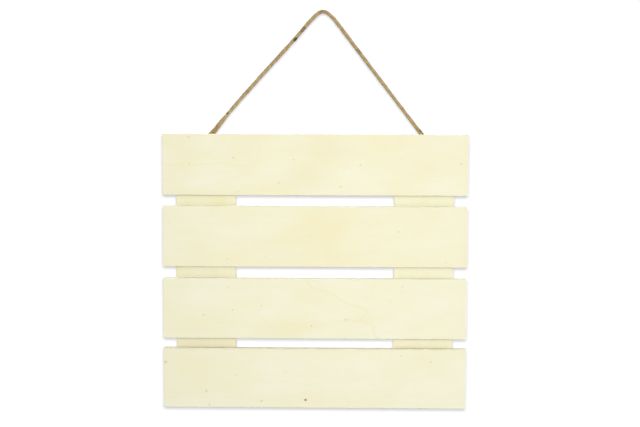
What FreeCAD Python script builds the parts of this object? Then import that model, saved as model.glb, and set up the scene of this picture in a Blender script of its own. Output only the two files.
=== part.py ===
import FreeCAD, Part
import Sketcher
import math
import os

# A slatted wooden door plaque that hangs from a loop of twine.
# Four boards lie across two upright battens and are stapled to them from behind.
# The loop's two ends are stapled to the battens' backs, close under the top edge.
#
# Frame: millimetres, +Z up, the face of the plaque looks along -Y.
# The origin is the hanging point. A hook comes out of the wall along Y there,
# and the twine's inner side rests on it. The battens' backs lie in the plane Y = 0.

# Driving dimensions: name, value
DIMENSIONS = [
    ("slat_length", 300.0),
    ("slat_height", 60.0),
    ("slat_thickness", 5.0),
    ("upper_gap", 10.7),
    ("middle_gap", 11.4),
    ("lower_gap", 9.6),
    ("batten_width", 59.0),
    ("batten_thickness", 5.0),
    ("slat_overhang", 12.8),
    ("batten_inset", 4.0),
    ("edge_break", 0.4),
    ("hook_shift", 7.4),
    ("cord_diameter", 3.0),
    ("cord_clearance", 0.05),
    ("cord_overlap", 16.0),
    ("cord_tail", 9.0),
    ("staple_crown", 11.4),
    ("staple_wire", 0.75),
    ("staple_corner", 0.5),
    ("staple_bite", 2.25),
    ("staple_point", 0.5),
    ("staple_step_x", 14.0),
    ("staple_step_z", 15.0),
]

# Boards from the top down, each with the gap that is open above it
SLATS = [
    ("top_slat", None),
    ("upper_slat", "upper_gap"),
    ("lower_slat", "middle_gap"),
    ("bottom_slat", "lower_gap"),
]

BATTENS = [("left_batten", -1), ("right_batten", 1)]

# Twine route in its own upright plane, as (x, z), from the left cut end over the hook to the right cut end
CORD_ROUTE = [
    (-120.3, -134.0),
    (-97.4, -101.7),
    (-55.4, -53.8),
    (-10.9, -5.0),
    (-0.4, 3.4),
    (10.1, -4.2),
    (109.7, -134.0),
]

# Share of the shorter neighbouring run that each bend of the twine may take up
BEND_SHARE = 0.45

doc = FreeCAD.newDocument("door_plaque")
sheet = doc.addObject("Spreadsheet::Sheet", "sizes")


def fill_sheet():
    """Writes each driving dimension into the sheet, with its name as the alias."""
    for row, (name, value) in enumerate(DIMENSIONS, start=1):
        sheet.set("A%d" % row, name)
        sheet.set("B%d" % row, str(value))
        sheet.setAlias("B%d" % row, name)
    doc.recompute()


def size(name):
    """A driving dimension as a plain number."""
    return float(sheet.get(name))


def place(item, x="0", y="0", z="0"):
    """Ties an object's position to expressions over the sheet."""
    for axis, expression in (("x", x), ("y", y), ("z", z)):
        item.setExpression("Placement.Base." + axis, expression)


def add_sketch(body, name, plane_role):
    """A sketch on one of the body's own origin planes."""
    sketch = body.newObject("Sketcher::SketchObject", name)
    plane = next(item for item in body.Origin.OriginFeatures if item.Role == plane_role)
    sketch.AttachmentSupport = [(plane, "")]
    sketch.MapMode = "FlatFace"
    return sketch


def add_outline(sketch, corners):
    """Joins the corners into a closed outline of straight lines."""
    points = [FreeCAD.Vector(x, y, 0) for x, y in corners]
    count = len(points)
    for index in range(count):
        sketch.addGeometry(Part.LineSegment(points[index], points[(index + 1) % count]), False)
    for index in range(count):
        sketch.addConstraint(Sketcher.Constraint("Coincident", index, 2, (index + 1) % count, 1))


def bind(sketch, kind, first, second, name, expression):
    """A named dimension between two sketch points, as drawn at first and then tied to the sheet."""
    step = sketch.getPoint(*second) - sketch.getPoint(*first)
    drawn = step.x if kind == "DistanceX" else step.y
    index = sketch.addConstraint(Sketcher.Constraint(kind, *first, *second, drawn))
    sketch.renameConstraint(index, name)
    sketch.setExpression("Constraints." + name, expression)


def make_board(name, length, height, thickness):
    """A sawn board: a centred rectangle, padded to its thickness, with every edge broken by sanding."""
    body = doc.addObject("PartDesign::Body", name + "_blank")
    sketch = add_sketch(body, name + "_outline", "XZ_Plane")
    add_outline(sketch, [(-1, -1), (1, -1), (1, 1), (-1, 1)])
    for line in (0, 2):
        sketch.addConstraint(Sketcher.Constraint("Horizontal", line))
    for line in (1, 3):
        sketch.addConstraint(Sketcher.Constraint("Vertical", line))
    sketch.addConstraint(Sketcher.Constraint("Symmetric", 0, 1, 1, 2, -1, 1))
    bind(sketch, "DistanceX", (0, 1), (0, 2), "length", length)
    bind(sketch, "DistanceY", (1, 1), (1, 2), "height", height)
    pad = body.newObject("PartDesign::Pad", name + "_pad")
    pad.Profile = sketch
    pad.setExpression("Length", thickness)
    doc.recompute()
    chamfer = body.newObject("PartDesign::Chamfer", name + "_edges")
    chamfer.Base = (pad, ["Edge%d" % index for index in range(1, len(pad.Shape.Edges) + 1)])
    chamfer.setExpression("Size", "sizes.edge_break")
    body.Tip = chamfer
    return body


def board_top():
    """Height of the face's top edge, which hangs by the twine's ends, as an expression."""
    return "%g + sizes.cord_overlap" % CORD_ROUTE[0][1]


def slat_centre(index):
    """Height of a slat's middle, counted down from the top edge, as an expression."""
    gaps = [gap for _, gap in SLATS[1:index + 1]]
    terms = [board_top(), "- %g * sizes.slat_height" % (index + 0.5)]
    return " ".join(terms + ["- sizes." + gap for gap in gaps])


def batten_centre(side):
    """Sideways place of a batten's middle, set in from the slats' ends, as an expression."""
    half_spacing = "(sizes.slat_length / 2 - sizes.slat_overhang - sizes.batten_width / 2)"
    return "-sizes.hook_shift + %d * %s" % (side, half_spacing)


def make_slats():
    """The boards that make the face, one below the other."""
    blanks = []
    for index, (name, _) in enumerate(SLATS):
        blank = make_board(name, "sizes.slat_length", "sizes.slat_height", "sizes.slat_thickness")
        place(blank, "-sizes.hook_shift", "-sizes.batten_thickness", slat_centre(index))
        blanks.append((name, blank))
    return blanks


def make_battens():
    """The uprights behind the slats, a little shorter than the face."""
    stack = "%d * sizes.slat_height + sizes.upper_gap + sizes.middle_gap + sizes.lower_gap" % len(SLATS)
    blanks = []
    for name, side in BATTENS:
        length = stack + " - 2 * sizes.batten_inset"
        blank = make_board(name, "sizes.batten_width", length, "sizes.batten_thickness")
        place(blank, batten_centre(side), "0", "%s - (%s) / 2" % (board_top(), stack))
        blanks.append((name, blank))
    return blanks


def make_staple():
    """One wire staple: the crown's underside lies at Y = 0 and the two pointed legs run along -Y."""
    body = doc.addObject("PartDesign::Body", "staple")
    sketch = add_sketch(body, "staple_outline", "XY_Plane")
    half = size("staple_crown") / 2
    wire = size("staple_wire")
    leg = size("batten_thickness") + size("staple_bite")
    left = [(-half + wire, 0), (-half + wire, -leg + size("staple_point")), (-half, -leg), (-half, wire)]
    right = [(-x, y) for x, y in reversed(left)]
    add_outline(sketch, left + right)
    sketch.addConstraint(Sketcher.Constraint("Horizontal", 7))
    for line in (0, 2, 4, 6):
        sketch.addConstraint(Sketcher.Constraint("Vertical", line))
    sketch.addConstraint(Sketcher.Constraint("PointOnObject", 0, 1, -1))
    sketch.addConstraint(Sketcher.Constraint("Symmetric", 3, 1, 3, 2, -2))
    sketch.addConstraint(Sketcher.Constraint("Equal", 2, 4))
    sketch.addConstraint(Sketcher.Constraint("Equal", 0, 6))
    bind(sketch, "DistanceX", (3, 1), (3, 2), "crown", "sizes.staple_crown")
    bind(sketch, "DistanceX", (3, 1), (0, 1), "left_wire", "sizes.staple_wire")
    bind(sketch, "DistanceX", (6, 2), (3, 2), "right_wire", "sizes.staple_wire")
    bind(sketch, "DistanceY", (0, 1), (3, 1), "crown_wire", "sizes.staple_wire")
    bind(sketch, "DistanceY", (1, 2), (0, 1), "leg", "sizes.batten_thickness + sizes.staple_bite")
    bind(sketch, "DistanceY", (1, 2), (1, 1), "point", "sizes.staple_point")
    pad = body.newObject("PartDesign::Pad", "staple_pad")
    pad.Profile = sketch
    pad.SideType = "Symmetric"
    pad.setExpression("Length", "sizes.staple_wire")
    doc.recompute()
    fillet = body.newObject("PartDesign::Fillet", "staple_bends")
    fillet.Base = (pad, crown_corners(pad.Shape))
    fillet.setExpression("Radius", "sizes.staple_corner")
    body.Tip = fillet
    return body


def crown_corners(shape):
    """Names of the two outer edges where the wire is bent from the crown into the legs."""
    top = shape.BoundBox.YMax
    names = []
    for index, edge in enumerate(shape.Edges, start=1):
        box = edge.BoundBox
        across_wire = box.ZLength > 0.5 * shape.BoundBox.ZLength
        if across_wire and box.YMin > top - 1e-6:
            names.append("Edge%d" % index)
    return names


def add_staple(staple, name, x, y, z):
    """A placed copy of the staple."""
    copy = doc.addObject("App::Link", name)
    copy.LinkedObject = staple
    place(copy, x, y, z)
    return copy


def group(name, members):
    """Gathers like fasteners in one node."""
    compound = doc.addObject("Part::Compound", name)
    compound.Label = name
    compound.Links = members
    return compound


def make_slat_staples(staple):
    """Two staples at each crossing of a slat and a batten, the upper one on the batten's inner side."""
    members = []
    for index, (slat, _) in enumerate(SLATS):
        for batten, side in BATTENS:
            for step in (-1, 1):
                x = "%s + %d * sizes.staple_step_x" % (batten_centre(side), -step * side)
                z = "%s + %d * sizes.staple_step_z" % (slat_centre(index), step)
                members.append(add_staple(staple, "%s_%s_staple" % (slat, batten), x, "0", z))
    return group("slat_staples", members)


def make_cord_staples(staple):
    """One staple over each end of the twine, a short tail away from the cut."""
    members = []
    reach = "sizes.cord_diameter + 2 * sizes.cord_clearance"
    for name, end, inner in (("left", 0, 1), ("right", -1, -2)):
        (x0, z0), (x1, z1) = CORD_ROUTE[end], CORD_ROUTE[inner]
        run = math.hypot(x1 - x0, z1 - z0)
        x = "%.4f + %.6f * sizes.cord_tail" % (x0, (x1 - x0) / run)
        z = "%.4f + %.6f * sizes.cord_tail" % (z0, (z1 - z0) / run)
        members.append(add_staple(staple, name + "_cord_staple", x, reach, z))
    return group("cord_staples", members)


def cord_path(plane_y):
    """Straight runs joined by tangent arcs, each arc as large as its two runs allow."""
    points = [FreeCAD.Vector(x, plane_y, z) for x, z in CORD_ROUTE]
    edges = []
    start = points[0]
    for before, corner, after in zip(points, points[1:], points[2:]):
        back = before - corner
        ahead = after - corner
        turn = math.pi - back.getAngle(ahead)
        tangent = BEND_SHARE * min(back.Length, ahead.Length)
        radius = tangent / math.tan(turn / 2)
        entry = corner + FreeCAD.Vector(back).normalize() * tangent
        leave = corner + FreeCAD.Vector(ahead).normalize() * tangent
        middle = FreeCAD.Vector(back).normalize() + FreeCAD.Vector(ahead).normalize()
        inset = radius / math.cos(turn / 2) - radius
        crest = corner + middle.normalize() * inset
        edges.append(Part.LineSegment(start, entry).toShape())
        edges.append(Part.Arc(entry, crest, leave).toShape())
        print("twine bend: turn %.1f degrees, radius %.1f mm" % (math.degrees(turn), radius))
        start = leave
    edges.append(Part.LineSegment(start, points[-1]).toShape())
    return Part.Wire(edges)


def make_cord():
    """The twine: a plain round tube along its route, close behind the battens."""
    radius = size("cord_diameter") / 2
    path = cord_path(radius + size("cord_clearance"))
    first = path.Edges[0]
    section = Part.Circle(first.valueAt(first.FirstParameter), first.tangentAt(first.FirstParameter), radius)
    tube = path.makePipeShell([Part.Wire([section.toShape()])], True, False)
    expected = math.pi * radius ** 2 * path.Length
    print("twine: length %.1f mm, volume %.1f of %.1f mm3" % (path.Length, tube.Volume, expected))
    print("twine: inner side of the crest at z = %.2f mm" % (path.BoundBox.ZMax - radius))
    cord = doc.addObject("Part::Feature", "hanging_cord")
    cord.Shape = tube
    return cord


def cut_for_staples(blanks, staples):
    """Opens each board where the staples' legs are driven in."""
    pieces = []
    for name, blank in blanks:
        cut = doc.addObject("Part::Cut", name)
        cut.Label = name
        cut.Base = blank
        cut.Tool = staples
        pieces.append(cut)
    return pieces


def check_model(pieces):
    """Stops if an object failed or a piece isn't a sound solid."""
    for item in doc.Objects:
        if "Invalid" in item.State or "Error" in item.State:
            raise RuntimeError("%s failed: %s" % (item.Name, item.State))
    for piece in pieces:
        if piece.Shape.isNull() or not piece.Shape.isValid() or not piece.Shape.Solids:
            raise RuntimeError("%s is not a sound solid" % piece.Label)


def write_pieces(pieces):
    """Writes each piece to a file of its own, named after it."""
    os.makedirs("parts", exist_ok=True)
    for piece in pieces:
        piece.Shape.exportStep(os.path.join("parts", piece.Label + ".step"))
        print("%s: %d solid(s), %.1f mm3" % (piece.Label, len(piece.Shape.Solids), piece.Shape.Volume))


fill_sheet()
slat_blanks = make_slats()
batten_blanks = make_battens()
master_staple = make_staple()
slat_staples = make_slat_staples(master_staple)
cord_staples = make_cord_staples(master_staple)
all_staples = group("all_staples", [slat_staples, cord_staples])
boards = cut_for_staples(slat_blanks + batten_blanks, all_staples)
hanging_cord = make_cord()
doc.recompute()

all_pieces = boards + [slat_staples, cord_staples, hanging_cord]
check_model(all_pieces)
write_pieces(all_pieces)
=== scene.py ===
"""Looks of the wooden door plaque: four pale slats on two battens, hung by a loop of jute twine.

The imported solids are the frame. Boards and staples keep their solids and get their finishes here. The plain
tube of the twine is replaced by two twisted plies with loose fibres and flecks of bark.
"""
import math

import bpy
import numpy as np
from bpy.props import FloatProperty, FloatVectorProperty, IntProperty, PointerProperty
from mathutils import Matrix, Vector


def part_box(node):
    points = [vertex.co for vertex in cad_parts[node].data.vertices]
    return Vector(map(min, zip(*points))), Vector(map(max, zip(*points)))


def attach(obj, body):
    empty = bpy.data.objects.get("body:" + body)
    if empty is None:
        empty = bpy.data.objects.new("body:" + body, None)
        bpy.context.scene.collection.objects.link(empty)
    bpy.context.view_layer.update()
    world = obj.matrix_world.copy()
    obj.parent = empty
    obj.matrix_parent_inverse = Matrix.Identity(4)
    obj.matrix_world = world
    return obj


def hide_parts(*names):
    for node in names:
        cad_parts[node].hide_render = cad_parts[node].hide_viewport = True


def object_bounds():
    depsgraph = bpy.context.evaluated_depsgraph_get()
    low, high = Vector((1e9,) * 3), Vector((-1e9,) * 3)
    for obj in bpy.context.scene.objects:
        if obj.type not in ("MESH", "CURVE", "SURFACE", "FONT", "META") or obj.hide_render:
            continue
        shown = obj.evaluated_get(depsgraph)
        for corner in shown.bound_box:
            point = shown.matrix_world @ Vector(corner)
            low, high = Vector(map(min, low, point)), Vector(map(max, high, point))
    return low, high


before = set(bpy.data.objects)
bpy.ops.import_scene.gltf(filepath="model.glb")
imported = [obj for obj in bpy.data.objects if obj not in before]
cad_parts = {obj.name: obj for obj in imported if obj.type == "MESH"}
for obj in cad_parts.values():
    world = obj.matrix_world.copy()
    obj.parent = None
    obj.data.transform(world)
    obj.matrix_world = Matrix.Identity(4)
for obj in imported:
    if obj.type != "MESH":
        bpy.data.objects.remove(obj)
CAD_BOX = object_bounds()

bl_info = {
    "name": "Wooden door plaque",
    "version": (1, 0, 0),
    "blender": (4, 5, 0),
    "location": "View3D > Sidebar > Plaque",
    "description": "Finishes for a slatted plaque of bare wood with a loop of jute twine",
    "category": "Object",
}

MM = 0.001
THROUGH = 1.0  # depth in metres of a spot that goes right through its board
SLATS = ("top_slat", "upper_slat", "lower_slat", "bottom_slat")
BATTENS = ("left_batten", "right_batten")
STAPLES = ("slat_staples", "cord_staples")
TWINE_PIECES = ("twine_plies", "twine_fibres", "twine_bark")

# Route of the twine, in metres in the plane behind the battens: from the left end over the crest to the right
# end. It has two points more than the solid's, one on each side of the crest. Its left run lies about a
# millimetre further out, as photographed, and its top point is higher, because the spline passes under it.
TWINE_PLANE = 1.55 * MM
TWINE_ROUTE = (
    (-0.1217, -0.1337),
    (-0.0984, -0.1023),
    (-0.0554, -0.0545),
    (-0.0257, -0.0223),
    (-0.0114, -0.0051),
    (-0.0004, 0.0046),
    (0.0106, -0.0042),
    (0.0203, -0.0175),
    (0.1100, -0.1337),
)
TWINE_SEED = 41

# Browner stretches of the twine: distance of the middle from the left end and half the stretch, in mm, and
# strength.
BROWN_STRETCHES = (
    (18.0, 22.0, 0.9),
    (73.5, 2.5, 0.9),
    (155.8, 4.6, 1.8),
    (182.5, 3.0, 1.5),
    (237.0, 4.0, 1.0),
    (348.0, 26.0, 0.9),
)

# Flecks of bark caught in the twine: distance from the left end in mm, turn round the twine in degrees (0 on
# its inner side, 270 towards the viewer), size against a fleck of 3 mm, and how brown it is instead of black.
BARK_FLECKS = (
    (21.0, 290.0, 0.7, 0.7),
    (28.5, 235.0, 0.5, 0.6),
    (45.2, 230.0, 1.0, 0.2),
    (102.0, 200.0, 0.7, 0.5),
    (110.0, 320.0, 0.65, 0.6),
    (121.5, 265.0, 0.75, 0.9),
    (144.0, 312.0, 1.9, 0.0),
    (153.9, 290.0, 0.55, 0.3),
    (158.5, 255.0, 0.6, 0.3),
    (182.5, 255.0, 0.45, 0.9),
    (236.0, 225.0, 0.6, 0.3),
    (335.6, 222.0, 0.9, 0.4),
    (339.4, 222.0, 1.3, 0.9),
)

# How each board was cut from the tree: a seed for its figure, the heart of the tree as seen from the board's
# middle (depth, across, in mm), how far the rings lean along the board, and how much warmer the board is. The
# lower two slats are paler, partly their own tone and partly painted light against the lamps' fall-off
# downwards.
BOARD_CUTS = {
    "top_slat": (1.7, (46.0, 8.0), 0.055, -0.06),
    "upper_slat": (5.2, (60.0, -30.0), -0.04, 0.0),
    "lower_slat": (8.9, (38.0, 4.0), 0.07, -0.22),
    "bottom_slat": (12.4, (55.0, 18.0), 0.05, -0.28),
    "left_batten": (21.3, (70.0, 40.0), 0.015, 0.0),
    "right_batten": (27.8, (70.0, -35.0), -0.015, -0.2),
}

# Pin knots: along and across from the board's middle, radius, all in mm, and depth of colour.
PIN_KNOTS = {
    "top_slat": (
        (-124.1, 27.1, 1.7, 0.35),
        (-80.0, 6.9, 1.5, 0.46),
        (-123.2, 0.7, 1.6, 0.30),
        (-21.1, 5.0, 1.4, 0.41),
        (44.6, 0.3, 1.5, 0.38),
        (84.7, 5.4, 1.2, 0.24),
        (143.4, 1.5, 1.7, 0.41),
        (-35.6, -17.6, 1.6, 0.38),
        (25.6, -21.3, 1.8, 0.32),
        (-54.4, 13.7, 1.2, 0.22),
        (-76.0, -26.5, 2.2, 0.16),
    ),
    "upper_slat": (
        (82.6, 5.3, 1.7, 0.35),
        (-48.5, -20.0, 1.3, 0.24),
        (-86.1, -22.2, 1.2, 0.32),
        (128.9, -25.1, 1.2, 0.32),
        (-144.3, 13.2, 1.6, 0.14),
    ),
    "lower_slat": (
        (-86.2, 20.4, 1.3, 0.38),
        (-52.5, 2.6, 1.6, 0.24),
        (-81.0, -1.5, 1.3, 0.43),
        (-110.1, -6.7, 1.8, 0.32),
        (31.0, -10.9, 1.9, 0.38),
        (-2.9, -17.1, 1.5, 0.46),
        (86.8, 22.3, 1.3, 0.32),
        (75.1, 7.3, 1.1, 0.22),
        (87.6, 17.0, 1.2, 0.16),
        (109.5, 23.4, 1.2, 0.14),
    ),
    "bottom_slat": (
        (-8.7, -21.9, 1.75, 1.4),
        (-107.4, -13.5, 1.8, 0.46),
        (-104.4, -27.2, 1.5, 0.46),
        (-52.5, -23.2, 1.8, 0.46),
        (-78.4, 2.9, 1.4, 0.32),
        (-28.6, 6.2, 1.7, 0.19),
        (86.4, 23.0, 1.5, 0.35),
        (115.2, 17.2, 1.6, 0.32),
        (71.9, -17.3, 1.3, 0.24),
        (-148.1, 15.5, 2.2, 0.54),
    ),
    "left_batten": ((60.0, 23.0, 1.2, 0.41),),
    "right_batten": ((-82.0, 6.0, 1.4, 0.30),),
}

# Broad warmer or paler patches: along and across from the board's middle, reach along and across, in mm, and
# strength.
WARM_PATCHES = {
    "top_slat": (
        (-2.0, 0.0, 46.0, 36.0, 0.34),
        (95.0, 8.0, 80.0, 22.0, 0.26),
        (-129.0, 12.0, 40.0, 14.0, 0.22),
        (-115.0, -16.0, 40.0, 14.0, -0.30),
        (28.0, -6.0, 16.0, 12.0, -0.25),
        (120.0, -20.0, 60.0, 14.0, -0.20),
        (152.0, 0.0, 10.0, 60.0, 0.40),
    ),
    "upper_slat": (
        (2.0, 6.0, 52.0, 70.0, 0.42),
        (-100.0, 10.0, 70.0, 40.0, -0.18),
        (-138.0, -28.0, 36.0, 14.0, 0.22),
        (152.0, 0.0, 10.0, 60.0, 0.40),
    ),
    "lower_slat": (
        (-112.0, -14.0, 80.0, 16.0, 0.30),
        (-18.0, -16.0, 64.0, 14.0, 0.34),
        (-112.0, 16.0, 60.0, 20.0, -0.22),
        (90.0, 0.0, 80.0, 40.0, -0.18),
    ),
    "bottom_slat": (
        (-128.0, 4.0, 46.0, 40.0, 0.30),
        (42.0, -22.0, 60.0, 14.0, 0.34),
        (-40.0, 2.0, 60.0, 30.0, -0.24),
        (110.0, -14.0, 60.0, 24.0, -0.14),
    ),
    "left_batten": ((70.0, -15.0, 60.0, 13.0, 0.60), (0.0, -9.0, 40.0, 7.0, 0.45)),
    "right_batten": (
        (0.0, 20.0, 90.0, 8.0, 0.20),
        (70.0, -7.0, 40.0, 5.0, -0.40),
        (-71.0, 6.0, 40.0, 7.0, 0.40),
    ),
}

# Faint lines of figure that wander over a face: how far they fade out to each side, then each line's strength
# and its corners, along and across from the board's middle, in mm.
FIGURE_FADE = 2.0 * MM
FIGURE_LINES = {
    "top_slat": (
        (0.28, ((-150.0, 21.0), (-134.0, 16.5), (-107.0, 10.5))),
        (0.32, ((-150.0, -0.8), (-126.0, -0.8), (-94.5, 1.2), (-65.0, -1.6), (-63.5, -8.5), (-80.0, -12.5))),
        (0.24, ((-150.0, -28.0), (-126.0, -27.0), (-77.0, -27.4), (-60.0, -21.5), (-72.0, -20.0))),
    ),
    "lower_slat": (
        (
            0.46,
            (
                (-10.0, 30.0), (-5.0, 22.8), (1.9, 19.4), (10.8, 16.9), (19.2, 13.5), (26.7, 8.0),
                (34.6, 5.1), (47.5, 0.7), (53.4, -2.3), (52.5, -4.8), (47.5, -7.8), (41.6, -11.3),
                (32.7, -10.9),
            ),
        ),
        (
            0.49,
            (
                (41.6, -11.3), (47.6, -11.8), (53.5, -14.3), (58.5, -17.2), (57.5, -21.7), (59.5, -25.7),
                (63.0, -30.0),
            ),
        ),
        (0.20, ((-150.0, 4.6), (-132.6, -5.4), (-110.3, -14.0), (-75.6, -16.4))),
        (0.20, ((-150.0, -4.1), (-125.1, -11.5), (-112.8, -17.7))),
    ),
}

# Darker stretches of a board: along and across from its middle, reach along and across, in mm, and strength.
# The strip along the bottom slat's top edge and the battens' patches in the lower gaps are painted shade.
DARK_PATCHES_AND_SHADE = {
    "top_slat": ((13.0, 14.0, 26.0, 18.0, 0.14), (-10.0, -10.0, 34.0, 20.0, 0.12)),
    # Painted shade along the bottom slat's top edge
    "bottom_slat": ((0.0, 30.0, 400.0, 2.4, 0.65),),
    # Painted shade on the battens in the lower gaps between the slats
    "left_batten": ((-0.6, 0.0, 32.0, 90.0, 0.16), (-71.0, 0.0, 34.0, 90.0, 0.46)),
    "right_batten": ((-71.0, 0.0, 34.0, 90.0, 0.20),),
}

# Lamps: place, then width and height, in metres. The key and paper lamps stand a little above the camera, and
# the end lamps stand out to both sides, behind the battens' backs and above the plaque's middle.
KEY_RISE = 0.062
KEY_SIZE = (0.16, 0.125)
SIDE_LAMP = ((1.4, -3.2, 0.94), (2.3, 2.3))
FILL_LAMP = ((0.3, -1.15, -0.82), (0.7, 0.7))
BACK_LAMP = ((-0.3, 1.3, -0.45), (1.2, 1.2))
END_OUT, END_BEHIND, END_RISE = 1.2, 0.28, 0.9
END_SIZE = (0.5, 0.5)


def colour(name, description, default):
    """Property for a linear colour."""
    limits = {"min": 0.0, "max": 1.0}
    return FloatVectorProperty(name=name, description=description, default=default, subtype="COLOR", **limits)


def amount(name, description, default, **kind):
    """Property for a number that is never negative."""
    return FloatProperty(name=name, description=description, default=default, min=0.0, **kind)


def length(name, description, default):
    """Property for a length in metres."""
    return amount(name, description, default, unit="LENGTH", precision=5)


def power(name, description, default):
    """Property for a lamp's power in watts."""
    return amount(name, description, default, unit="POWER")


class PlaqueBoardSettings(bpy.types.PropertyGroup):
    """Finish of the slats and battens."""

    pale: colour("Pale", "Palest wood of the slats", (0.769, 0.753, 0.589))
    straw: colour("Straw", "Warmest wood of the slats", (0.757, 0.708, 0.468))
    batten_pale: colour("Batten pale", "Palest wood of the battens", (0.724, 0.709, 0.538))
    batten_straw: colour("Batten straw", "Warmest wood of the battens", (0.708, 0.669, 0.440))
    late_wood: colour("Late wood", "Lines of figure and late wood", (0.735, 0.675, 0.395))
    knot_rim: colour("Knot rim", "Stain round a pin knot", (0.620, 0.440, 0.004))
    knot: colour("Knot", "Heart of a pin knot", (0.290, 0.155, 0.030))
    # Eased edges of the slats: partly sanded pale, partly painted light that lifts the shade on edges turned
    # from the lamps
    eased_arris: colour("Worn", "Eased edges of the slats, sanded pale", (0.930, 0.915, 0.760))
    # Darker wood of sawn edges and end grain, which soak up dirt; it also serves as painted shade on the
    # slats' top edges and in the dark patches
    sawn_edge_and_shade: colour("Sawn edge", "Edges and end grain, which soak up dirt", (0.640, 0.585, 0.400))
    ring_spacing: length("Ring spacing", "Width of one growth ring", 5.5 * MM)
    figure: amount("Figure", "Strength of the growth rings on a face", 0.10, max=1.0, subtype="FACTOR")


class PlaqueTwineSettings(bpy.types.PropertyGroup):
    """Shape and finish of the twine."""

    diameter: length("Diameter", "Across both plies", 3.0 * MM)
    lay: length("Lay", "Length of one full turn of the two plies", 15.5 * MM)
    fibres: IntProperty(
        name="Fibres", description="Loose fibres that stand off the twine", default=240, min=0, max=2000
    )
    straw: colour("Straw", "Main colour of the jute", (0.462, 0.335, 0.142))
    olive: colour("Olive", "Greener of the two plies", (0.421, 0.333, 0.135))
    russet: colour("Russet", "Reddish strands", (0.418, 0.270, 0.118))
    pale: colour("Pale", "Sun-bleached strands", (0.530, 0.416, 0.205))
    # Also the colour of the painted shade in the grooves between the plies
    brown: colour("Brown", "Dark strands", (0.215, 0.120, 0.045))
    bark: colour("Bark", "Flecks of bark", (0.055, 0.036, 0.020))


class PlaqueStapleSettings(bpy.types.PropertyGroup):
    """Finish of the staples."""

    zinc: colour("Zinc", "Bright galvanised wire", (0.400, 0.405, 0.415))
    dull: colour("Dull zinc", "Weathered galvanised wire", (0.260, 0.265, 0.275))


class PlaqueStageSettings(bpy.types.PropertyGroup):
    """Backdrop, light and camera."""

    wall_gap: length("Wall gap", "From the battens' backs to the backdrop", 25.0 * MM)
    floor_drop: length("Floor drop", "From the lowest board to the floor", 0.16)
    key_power: power("Key", "Lamp just above the camera", 5.05)
    paper_power: power("Paper", "Lamp just above the camera, on the backdrop alone", 49.7)
    side_power: power("Side", "Large soft lamp high on the right", 60.9)
    end_power: power("Ends", "Each soft lamp high at a side, on the boards and staples alone", 10.5)
    fill_power: power("Fill", "Small lamp below the camera", 4.0)
    back_power: power("Back", "Soft lamp behind the plaque", 16.0)
    sky: amount("Sky", "Even light from all round", 0.16)
    glow: amount("Glow", "Light of the backdrop itself", 0.485)
    camera_place: FloatVectorProperty(
        name="Camera",
        description="Camera's place",
        default=(0.0107, -0.9915, -0.1332),
        subtype="TRANSLATION",
        unit="LENGTH",
    )
    camera_turn: FloatVectorProperty(
        name="Turn",
        description="Camera's tilt, roll and pan",
        default=(math.radians(86.356), math.radians(-0.20), math.radians(0.77)),
        subtype="EULER",
        unit="ROTATION",
    )
    lens: amount("Lens", "Focal length in millimetres on a frame 36 mm wide", 56.29)


def feed(tree, socket, value):
    """Links a socket to another node's output, or sets its own value; a colour is set opaque."""
    if isinstance(value, bpy.types.NodeSocket):
        tree.links.new(value, socket)
    elif socket.type == "RGBA":
        socket.default_value = (*value[:3], 1.0)
    else:
        socket.default_value = value


def feed_all(tree, node, feeds):
    """Feeds a node's sockets, each by its name or number."""
    for key, value in feeds.items():
        feed(tree, node.inputs[key], value)


def put(tree, kind, feeds=None, **settings):
    """Adds one node: settings are its switches, feeds the values or links of its sockets."""
    made = tree.nodes.new(kind)
    for name, value in settings.items():
        setattr(made, name, value)
    feed_all(tree, made, feeds or {})
    return made


def maths(tree, operation, *values):
    """Output of a Math node on the values."""
    return put(tree, "ShaderNodeMath", dict(enumerate(values)), operation=operation).outputs[0]


def vectors(tree, operation, *values):
    """Vector output of a Vector Math node on the values."""
    return put(tree, "ShaderNodeVectorMath", dict(enumerate(values)), operation=operation).outputs["Vector"]


def measure(tree, operation, *values):
    """Number from a Vector Math node on the values, such as a length or a dot product."""
    return put(tree, "ShaderNodeVectorMath", dict(enumerate(values)), operation=operation).outputs["Value"]


def noise(tree, vector, scale, detail=2.0, seed=0.0):
    """Smooth noise from 0 to 1; the seed slides it, so that no two boards are alike."""
    feeds = {"Vector": vector, "W": seed, "Scale": scale, "Detail": detail}
    return put(tree, "ShaderNodeTexNoise", feeds, noise_dimensions="4D").outputs[0]


def ramp(tree, value, low, high, first=0.0, last=1.0):
    """Carries a value from low..high to first..last along a smooth step, held at both ends."""
    feeds = {"Value": value, "From Min": low, "From Max": high, "To Min": first, "To Max": last}
    return put(tree, "ShaderNodeMapRange", feeds, interpolation_type="SMOOTHSTEP").outputs[0]


def tint(tree, share, first, second):
    """Colour between first and second, which has the given share."""
    return put(tree, "ShaderNodeMix", {0: share, 6: first, 7: second}, data_type="RGBA").outputs[2]


def start_group(name, takes, gives):
    """New node group with sockets of the given names and kinds; returns its tree, inputs and outputs."""
    tree = bpy.data.node_groups.new(name, "ShaderNodeTree")
    for label, kind in takes.items():
        tree.interface.new_socket(label, in_out="INPUT", socket_type="NodeSocket" + kind)
    for label, kind in gives.items():
        tree.interface.new_socket(label, in_out="OUTPUT", socket_type="NodeSocket" + kind)
    return tree, tree.nodes.new("NodeGroupInput").outputs, tree.nodes.new("NodeGroupOutput").inputs


def use_group(tree, name, feeds):
    """Places a node group that exists already; returns its output sockets."""
    return put(tree, "ShaderNodeGroup", feeds, node_tree=bpy.data.node_groups[name]).outputs


def lay_over(tree, name, before, rows):
    """Running value after a node group has been laid over it once for each row of feeds."""
    for feeds in rows:
        before = use_group(tree, name, feeds | {"Before": before})["After"]
    return before


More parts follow.
